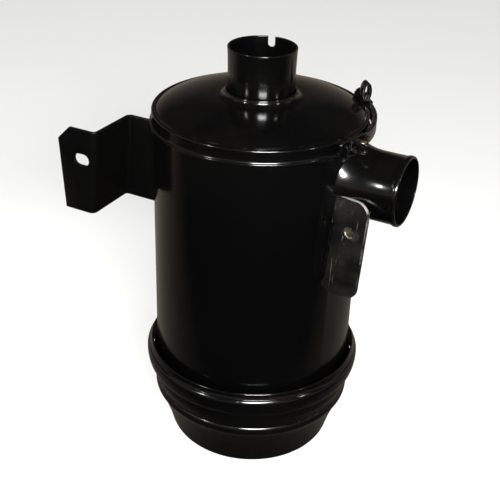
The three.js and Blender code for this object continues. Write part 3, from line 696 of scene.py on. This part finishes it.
# ---- Down tube ----
# The middle tube takes the incoming air down to the oil. It is a plain welded tube, painted inside
# and out with the can, and the cover's seal sits on its top.
tube_low, tube_high = (corner.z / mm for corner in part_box("down_tube"))
down_tube = turned("down_tube_wall", [
    (bore, tube_low), *arc((PIPE_RADIUS - 0.6, tube_low + 0.6), (0.6, 0.6), 270, 360, 3),
    *arc((PIPE_RADIUS - 0.6, tube_high - 0.6), (0.6, 0.6), 0, 180, 6)], around=96)
round_edges(down_tube, 0.15)
inside_paint = gloss_black("Inside paint", dusty=0.35, roughness=0.3, peel_depth=0.02)
fit(down_tube, "canister", "gloss_black_paint", inside_paint, "down_tube")

# ---- Perforated grids ----
# Three punched steel rings hold the wire packs up and apart. Air and oil mist pass through the holes.
grid_steel, tree, shader = new_material("Oiled steel")
stain = noise(tree, 30, detail=6, roughness=0.65)
brushing = noise(tree, 420, detail=2, roughness=0.6, stretch=(1, 0.05, 1))
colour = blend_colours(tree, spread(tree, stain.outputs["Fac"], 0.4, 0.7),
                       (0.42, 0.42, 0.41), (0.20, 0.165, 0.11))
tree.links.new(colour, shader.inputs["Base Color"])
tree.links.new(spread(tree, stain.outputs["Fac"], 0.35, 0.7, 0.38, 0.22), shader.inputs["Roughness"])
shader.inputs["Metallic"].default_value = 0.95
bump(tree, shader, brushing.outputs["Fac"], 0.015)
GRID_HOLES = [(40, 8, 7), (62, 12, 8)]
grid_inner, grid_outer = PIPE_RADIUS + 0.3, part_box("lower_grid")[1].x / mm
grid_model = turned("grid_model", [
    (grid_inner, 0), (grid_outer, 0), (grid_outer, SHEET), (grid_inner, SHEET)])
for row, (radius, count, size) in enumerate(GRID_HOLES):
    for number in range(count):
        place = turn(360 * number / count) @ shift(radius, 0, 0)
        cut(grid_model, rod(f"grid_hole_{row}_{number}", size * 0.97, -2, 4, place, around=28))
round_edges(grid_model, 0.22)
for node in ("lower_grid", "middle_grid", "upper_grid"):
    grid = grid_model.copy()
    grid.data = grid_model.data.copy()
    grid.name = node + "_plate"
    bpy.context.collection.objects.link(grid)
    grid.data.transform(Matrix.Translation((0, 0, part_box(node)[0].z)))
    fit(grid, "canister", "bare_steel", grid_steel, node)
bpy.data.objects.remove(grid_model)

# ---- Wire packs ----
# Two rings of crimped steel wire wash and catch the dust. Each is wound from waved wire, in hoops
# that lie beside and above each other.
WIRE = 1
HOOP_STEP, LAYER_STEP, POINTS = 4.6, 5.2, 96
CRIMP_ACROSS, CRIMP_UP = 1.9, 1.3
WAVES_PER_MM = 0.75
wire_steel, tree, shader = new_material("Crimped wire")
tarnish = noise(tree, 55, detail=4, roughness=0.6)
colour = blend_colours(tree, spread(tree, tarnish.outputs["Fac"], 0.38, 0.66),
                       (0.52, 0.52, 0.51), (0.22, 0.18, 0.12))
tree.links.new(colour, shader.inputs["Base Color"])
tree.links.new(spread(tree, tarnish.outputs["Fac"], 0.3, 0.7, 0.28, 0.5), shader.inputs["Roughness"])
shader.inputs["Metallic"].default_value = 1
for node in ("lower_mesh_pack", "upper_mesh_pack"):
    pack_low, pack_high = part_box(node)
    wires = new_wire(node + "_wires", WIRE, 0)
    low, high, reach = pack_low.z / mm, pack_high.z / mm, pack_high.x / mm
    layers = int((high - low - 4) / LAYER_STEP)
    hoops = int((reach - grid_inner - 5) / HOOP_STEP)
    for layer in range(layers + 1):
        for hoop in range(hoops + 1):
            level = low + 2 + (high - low - 4) * layer / layers
            radius = grid_inner + 2.6 + (reach - grid_inner - 5.2) * hoop / hoops
            waves = int(radius * WAVES_PER_MM)
            phase = 1.7 * layer + 2.3 * hoop
            spline = wires.splines.new("POLY")
            spline.points.add(POINTS - 1)
            spline.use_cyclic_u = True
            for number, point in enumerate(spline.points):
                angle = 2 * pi * number / POINTS
                wave = waves * angle
                out = radius + CRIMP_ACROSS * sin(wave + phase)
                rise = CRIMP_UP * cos(wave / 2 // 1 + wave + phase)
                point.co = (out * cos(angle) * mm, out * sin(angle) * mm, (level + rise) * mm, 1)
    wire_pack = as_mesh(wires)
    bpy.ops.object.shade_smooth()
    fit(wire_pack, "canister", "wire_mesh", wire_steel, node)

# ---- Cover ----
# A pressed dome with a low collar drawn up round the inlet neck. Its flat rim lies on the seal.
cover_low, cover_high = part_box("cover")
COVER_RIM = cover_high.x / mm
rim_low = cover_low.z / mm
COLLAR_LIP = cover_high.z / mm
CROWN = COLLAR_LIP - 5
EDGE = rim_low + 3
DOME_RADIUS, DOME_START, DRAW = 77, 22, 6
collar = PIPE_RADIUS + 0.15
dome_run = (DOME_RADIUS - collar - DRAW) / cos(radians(DOME_START))
dome_rise = (CROWN - EDGE) / (1 - sin(radians(DOME_START)))
over = arc((collar + DRAW, CROWN - dome_rise), (dome_run, dome_rise), DOME_START, 90, 18)
under = [(radius - SHEET * 0.6, height - SHEET) for radius, height in reversed(over)]
fillet = arc((collar + DRAW, CROWN + 4.6), (4.8, 4.6), 270, 182, 10)
cover = turned("cover_dome", [
    (COVER_RIM, rim_low), (COVER_RIM, rim_low + SHEET), (DOME_RADIUS + 0.4, rim_low + SHEET),
    (DOME_RADIUS, rim_low + SHEET + 0.6), *over, *fillet,
    *arc((collar + 0.6, COLLAR_LIP - 0.6), (0.6, 0.6), 0, 180, 6),
    (collar, CROWN - SHEET), *under, (DOME_RADIUS - 1, rim_low)])
round_edges(cover, 0.2)
cover_paint = gloss_black("Cover paint", dusty=0.018, roughness=0.10, peel_depth=0.008)
fit(cover, "cover_assembly", "gloss_black_paint", cover_paint, "cover")

# ---- Inlet neck ----
# A stub of two inch tube, pushed through the cover and brazed. It is belled a little at its mouth,
# and has one slot that lets a hose clamp close on it.
neck_low, neck_high = (corner.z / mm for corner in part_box("inlet_neck"))
BELL = 0.55
NECK_SLOT = {"azimuth": 74.6, "width": 5.4, "depth": 8}
neck = turned("neck_stub", [
    (bore, neck_low), (PIPE_RADIUS - 0.5, neck_low), (PIPE_RADIUS - 0.5, neck_high - 16),
    (PIPE_RADIUS - 0.3, neck_high - 8), (PIPE_RADIUS - 0.05, neck_high - 2.5),
    *arc((PIPE_RADIUS - 0.5, neck_high - 0.6), (0.6, 0.6), 0, 180, 8),
    (bore + BELL - 0.2, neck_high - 8), (bore, neck_high - 16)], around=112)
slot_bottom = neck_high - NECK_SLOT["depth"] + NECK_SLOT["width"] / 2
slot_place = turn(NECK_SLOT["azimuth"]) @ shift(0, 0, slot_bottom) @ turn(90, "Y")
cut(neck, rod("slot_end", NECK_SLOT["width"] / 2, 15, 35, slot_place, around=40))
cut(neck, block(turn(NECK_SLOT["azimuth"]) @ shift(25, 0, slot_bottom + 10), 20, NECK_SLOT["width"], 20))
round_edges(neck, 0.22)
neck_paint = gloss_black("Neck paint", dusty=0.025, roughness=0.14, peel_depth=0.010)
fit(neck, "cover_assembly", "gloss_black_paint", neck_paint, "inlet_neck")

# ---- Seals ----
# Three rubber rings: a flat one under the cover's rim, a thick one between the neck and the down tube,
# and a flat one under the canister's bottom edge.
rubber, tree, shader = new_material("Black rubber")
grain = noise(tree, 900, detail=2)
bloom = noise(tree, 40, detail=5, roughness=0.6)
colour = blend_colours(tree, spread(tree, bloom.outputs["Fac"], 0.4, 0.7),
                       (0.016, 0.016, 0.016), (0.040, 0.038, 0.035))
tree.links.new(colour, shader.inputs["Base Color"])
tree.links.new(spread(tree, bloom.outputs["Fac"], 0.3, 0.7, 0.55, 0.8), shader.inputs["Roughness"])
bump(tree, shader, grain.outputs["Fac"], 0.03)


def seal(node, inner_radius, body):
    """A moulded ring with round corners that fills its node's box."""
    low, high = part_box(node)
    outer_radius, low, high = high.x / mm, low.z / mm, high.z / mm
    corner = (high - low) * 0.3
    lows, highs, inside, outside = low + corner, high - corner, inner_radius + corner, outer_radius - corner
    reach = (corner, corner)
    ring = turned(node + "_ring", [
        *arc((inside, lows), reach, 180, 270, 4), *arc((outside, lows), reach, 270, 360, 4),
        *arc((outside, highs), reach, 0, 90, 4), *arc((inside, highs), reach, 90, 180, 4)])
    bpy.ops.object.shade_smooth_by_angle(angle=radians(40))
    fit(ring, body, "black_rubber", rubber, node)


seal("cover_seal", 75, "cover_assembly")
seal("tube_seal", PIPE_RADIUS - 2.6, "cover_assembly")
seal("bowl_gasket", 76.6, "bowl_assembly")

# ---- Cover ring ----
# A rolled steel hoop with its top edge turned in over the cover's rim and its low edge flared and
# hemmed. It is open at one place, where the lever lock pulls its ends together.
ring_low, ring_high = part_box("cover_ring")
RING_OUT = ring_high.x / mm
low, high = ring_low.z / mm, ring_high.z / mm
HEM = 1.1
HOOP_GAP, LOCK_TO_GAP = 8, 6.5
shoulder = RING_OUT - 1.6
ring = turned("cover_hoop", [
    *arc((RING_OUT - HEM, low + HEM), (HEM, HEM), 210, 450, 12), (RING_OUT - 1.4, low + 3.2),
    (shoulder, low + 5), *arc((shoulder - 1.4, high - 1.4), (1.4, 1.4), 0, 90, 8), (77.7, high),
    (77.6, high - 0.5), (77.7, high - 1), *arc((shoulder - 1.4, high - 1.4), (0.4, 0.4), 90, 0, 3),
    (shoulder - 1, low + 5), (RING_OUT - 2.3, low + 3.2)], around=160)


def open_hoop(hoop, azimuth, low, high):
    """Cuts the gap between a hoop's two ends."""
    cut(hoop, block(turn(azimuth) @ shift(85, 0, (low + high) / 2), 40, HOOP_GAP, high - low + 8))
    round_edges(hoop, 0.18)


hinge_at = {joint["name"]: Vector(joint["pos_m"]) for joint in frame["record"]["behaviour"]["joints"]
            if joint["type"] == "hinge"}
cover_lock_at = hinge_at["cover_lever_swing"]
cover_azimuth = degrees(atan2(cover_lock_at.y, cover_lock_at.x))
open_hoop(ring, cover_azimuth - LOCK_TO_GAP, low, high)
hoop_paint = gloss_black("Hoop paint", dusty=0.02, roughness=0.12, peel_depth=0.016)
fit(ring, "cover_assembly", "gloss_black_paint", hoop_paint, "cover_ring")

# ---- Oil bowl ----
# A deep-drawn bowl with a flat foot, a tapered cup and a stepped mouth that takes the canister's end.
bowl_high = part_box("oil_bowl")[1]
MOUTH = bowl_high.x / mm
MOUTH_TOP = bowl_high.z / mm
WALL = 1.5
FOOT = 61.5
BEAD = {"radius": 78.8, "height": 43.6, "reach": 3}
outside = [(0, 0.6), (FOOT - 8, 0.6), (FOOT - 6, 0), *arc((FOOT, 7.5), (7.2, 7.5), 285, 352, 8),
           (70.2, 12), (71.4, 16.6), (72.8, 21), (74.8, 26.6), (76.8, 32), (78.9, 36.8),
           *arc((BEAD["radius"], BEAD["height"]), (BEAD["reach"], BEAD["reach"] + 1.4), -48, 52, 14),
           (81, 48.9), (82.1, 52.6), *arc((MOUTH - 3, 57), (3, 4), -20, 0, 3), (MOUTH, 66),
           (MOUTH - 0.4, MOUTH_TOP - 0.6)]
inside = [(max(radius - WALL, 0), height + (WALL if height < 12 else 0))
          for radius, height in reversed(outside)]
bowl = turned("bowl_shell", [*outside, (MOUTH - WALL / 2, MOUTH_TOP), *inside], closed=False)
round_edges(bowl, 0.2, sharper_than=50)
bowl_paint = gloss_black("Bowl paint", dusty=0.02, roughness=0.15, peel_depth=0.012)
fit(bowl, "bowl_assembly", "gloss_black_paint", bowl_paint, "oil_bowl")

# ---- Oil cup ----
# A loose steel cup with a hole in its middle sits in the bowl and stills the oil.
cup_low, cup_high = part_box("oil_cup")
cup_top, cup_floor = cup_high.z / mm, cup_low.z / mm
cup = turned("oil_cup_pressing", [
    (34, cup_floor), *arc((52.6, cup_floor + 2.2), (2.2, 2.2), 270, 350, 5), (57, cup_top - 1.2),
    *arc((57, cup_top - 0.6), (0.6, 0.6), 0, 180, 6), (56, cup_top - 1.4),
    *arc((52.4, cup_floor + 3), (1.6, 1.6), 350, 270, 5), (34, cup_floor + 1)])
round_edges(cup, 0.15, sharper_than=50)
fit(cup, "bowl_assembly", "bare_steel", grid_steel, "oil_cup")

# ---- Bowl band ----
# A hoop pressed over the bowl's mouth. It is widest at its shoulder, its rolled upper lip stands just
# clear of the can, and its second lever lock is at the back.
band_low, band_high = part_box("bowl_band")
BULGE = band_high.x / mm
low, high = band_low.z / mm, band_high.z / mm
SKIRT, SHOULDER, LIP, ROLL = 84.8, 76, 84.9, 0.95
SHOULDER_REACH = (4.2, 5)


def band_side(inset):
    """The band's outer side, or its inner side where inset is the sheet's thickness."""
    lower = arc((SKIRT, SHOULDER), (BULGE - SKIRT - inset, SHOULDER - low - inset), 285, 354, 9)
    out, up = SHOULDER_REACH
    return lower + arc((BULGE - out, SHOULDER - 0.6), (out - inset, up - inset), 7, 62, 12)


hem = arc((LIP - ROLL, high - ROLL), (ROLL, ROLL), -10, 230, 12)
band = turned("bowl_hoop", [*band_side(0), *hem, *reversed(band_side(SHEET))], around=160)
bowl_lock_at = hinge_at["bowl_lever_swing"]
bowl_azimuth = degrees(atan2(bowl_lock_at.y, bowl_lock_at.x))
open_hoop(band, bowl_azimuth - LOCK_TO_GAP, low, high)
fit(band, "bowl_assembly", "gloss_black_paint", hoop_paint, "bowl_band")

# ---- Lever locks ----
# One lock closes the cover's ring and one the bowl's band. A clevis on one end of the hoop holds the
# lever on a pin, and the lever pulls a wire loop over a catch on the other end.


def copy_of(node, name):
    """A merged copy of a plain solid, with its flat faces made whole, for its edges to be rounded."""
    piece = frame["nodes"][node].copy()
    piece.data = frame["nodes"][node].data.copy()
    piece.name = name
    piece.parent = None
    bpy.context.collection.objects.link(piece)
    bpy.ops.object.select_all(action="DESELECT")
    piece.select_set(True)
    bpy.context.view_layer.objects.active = piece
    bpy.ops.object.mode_set(mode="EDIT")
    bpy.ops.mesh.select_all(action="SELECT")
    bpy.ops.mesh.remove_doubles(threshold=0.002 * mm)
    bpy.ops.mesh.dissolve_limited(angle_limit=radians(1))
    bpy.ops.object.mode_set(mode="OBJECT")
    return piece


lock_paint = gloss_black("Lock paint", dusty=0.08, roughness=0.20, peel_depth=0.014)
LOOP_WIRE, LOOP_RISE, LOOP_BEND = 2.2, 6.4, 2.2
LOOP_OUT, LOOP_NEAR, LOOP_FAR = 4, 5.5, -12.5
RIVET_SHANK, RIVET_TAIL, RIVET_CAP, RIVET_HEAD = 1.65, 2.4, 2.6, 1.1
LEVER_HEIGHT, FLANGE_THICK = 9, 1.1


def wire_loop(name, pivot, azimuth, hoop_radius):
    """A rectangle of round wire with bent corners, from the lever's eye to the catch."""
    radius = hoop_radius + LOOP_OUT
    ends = [azimuth + LOOP_NEAR, azimuth + LOOP_FAR]
    sides = [Vector((radius * cos(radians(a)), radius * sin(radians(a)), pivot.z / mm)) for a in ends]
    along = (sides[1] - sides[0]).normalized()
    length = (sides[1] - sides[0]).length
    corners = [(0, LOOP_RISE, 180, 90), (length, LOOP_RISE, 90, 0), (length, -LOOP_RISE, 0, -90),
               (0, -LOOP_RISE, 270, 180)]
    line = new_wire(name, LOOP_WIRE, 4)
    spline = line.splines.new("POLY")
    path = []
    for out, up, start, stop in corners:
        centre = (min(max(out, LOOP_BEND), length - LOOP_BEND), up - LOOP_BEND * (1 if up > 0 else -1))
        path += arc(centre, (LOOP_BEND, LOOP_BEND), start, stop, 6)
    spline.points.add(len(path) - 1)
    spline.use_cyclic_u = True
    for point, (out, up) in zip(spline.points, path):
        place = (sides[0] + along * out + Vector((0, 0, up))) * mm
        point.co = (*place, 1)
    piece = as_mesh(line)
    bpy.ops.object.shade_smooth()
    return piece


def lever_flange(name, low, hoop_radius, start, stop):
    """One of the lever's edges, turned in towards the hoop from one azimuth to another."""
    near, far = hoop_radius + 0.5, hoop_radius + 2.2
    flange = turned(name, [(near, low), (far, low), (far, low + FLANGE_THICK), (near, low + FLANGE_THICK)])
    sector = [(0, 0)] + arc((0, 0), (120, 120), start, stop, 6)
    cut(flange, plate("flange_sector", sector, low - 5, 12), "INTERSECT")
    round_edges(flange, 0.25)
    return flange


for lock, body, azimuth, hoop_radius, reach in (("cover", "cover_assembly", cover_azimuth, RING_OUT, 67),
                                                ("bowl", "bowl_assembly", bowl_azimuth, BULGE, 59)):
    pivot = hinge_at[lock + "_lever_swing"]
    clevis = copy_of(lock + "_lever_bracket", lock + "_lock_clevis")
    round_edges(clevis, 0.3, sharper_than=25)
    fit(clevis, body, "gloss_black_paint", lock_paint, lock + "_lever_bracket")
    catch = copy_of(lock + "_lock_catch", lock + "_lock_hook")
    round_edges(catch, 0.4, segments=3, sharper_than=25)
    fit(catch, body, "gloss_black_paint", lock_paint, lock + "_lock_catch")
    lever = copy_of(lock + "_lock_lever", lock + "_lever_strip")
    round_edges(lever, 0.3, sharper_than=25)
    fit(lever, lock + "_lever", "gloss_black_paint", lock_paint, lock + "_lock_lever")
    lever_low = pivot.z / mm - LEVER_HEIGHT / 2
    for edge, low in (("low", lever_low), ("high", lever_low + LEVER_HEIGHT - FLANGE_THICK)):
        flange = lever_flange(f"{lock}_lever_{edge}_flange", low, hoop_radius, azimuth + 13, azimuth + reach)
        fit(flange, lock + "_lever", "gloss_black_paint", lock_paint)
    pin_low, pin_high = (corner.z / mm - pivot.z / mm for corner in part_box(lock + "_lever_pin"))
    pin = turned(lock + "_pin_rivet", [
        (0, pin_low), (RIVET_TAIL - 0.6, pin_low), (RIVET_TAIL, pin_low + 0.4),
        (RIVET_TAIL, pin_low + RIVET_HEAD), (RIVET_SHANK, pin_low + RIVET_HEAD),
        (RIVET_SHANK, pin_high - RIVET_HEAD), (RIVET_CAP, pin_high - RIVET_HEAD),
        *arc((0, pin_high - RIVET_HEAD), (RIVET_CAP, RIVET_HEAD), 10, 90, 8)], closed=False, around=32)
    pin.data.transform(Matrix.Translation(pivot))
    round_edges(pin, 0.1, segments=1, sharper_than=50)
    fit(pin, body, "zinc_plate", zinc, lock + "_lever_pin")
    loop = wire_loop(lock + "_wire_loop", pivot, azimuth, hoop_radius)
    fit(loop, lock + "_loop", "gloss_black_paint", lock_paint, lock + "_lock_loop")
